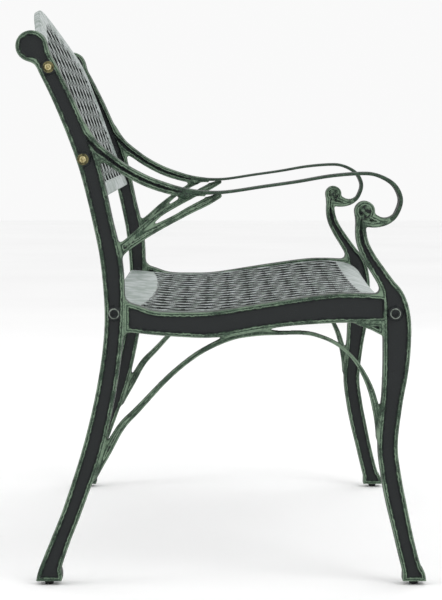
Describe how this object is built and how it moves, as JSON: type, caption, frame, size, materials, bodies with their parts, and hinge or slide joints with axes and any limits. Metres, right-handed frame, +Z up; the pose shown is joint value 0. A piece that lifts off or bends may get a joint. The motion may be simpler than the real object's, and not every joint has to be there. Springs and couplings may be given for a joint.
{
  "type": "garden bench",
  "caption": "Cast metal garden bench with leaning side frames, a dished lattice seat, an arched lattice back and curved arm rests ending in scrolls, bolted together.",
  "frame": {"origin": "bottom centre of the bounding box, on the floor midway between the side frames", "axes": "+X along the bench's length, the front faces -Y and the back leans towards +Y, +Z up"},
  "size_m": [1.02, 0.5979, 0.851],
  "materials": {
    "frame_casting": "worn verdigris paint over charcoal",
    "panel_casting": "weathered pale grey-green paint",
    "brass_bolt": "satin",
    "brass_washer": "tarnished",
    "black_bolt": "black",
    "zinc_washer": "dull zinc",
    "plug_foot": "black"
  },
  "bodies": {
    "root": {"side_frame_left": "frame_casting", "side_frame_right": "frame_casting", "seat_panel": "panel_casting", "back_panel": "panel_casting", "back_bolt_left_upper": "brass_bolt", "back_washer_left_upper": "brass_washer", "back_bolt_left_lower": "brass_bolt", "back_washer_left_lower": "brass_washer", "seat_bolt_left_rear": "black_bolt", "seat_washer_left_rear": "zinc_washer", "foot_left_rear": "plug_foot", "seat_bolt_left_front": "black_bolt", "seat_washer_left_front": "zinc_washer", "foot_left_front": "plug_foot", "back_bolt_right_upper": "brass_bolt", "back_washer_right_upper": "brass_washer", "back_bolt_right_lower": "brass_bolt", "back_washer_right_lower": "brass_washer", "seat_bolt_right_rear": "black_bolt", "seat_washer_right_rear": "zinc_washer", "foot_right_rear": "plug_foot", "seat_bolt_right_front": "black_bolt", "seat_washer_right_front": "zinc_washer", "foot_right_front": "plug_foot"}
  },
  "joints": []
}
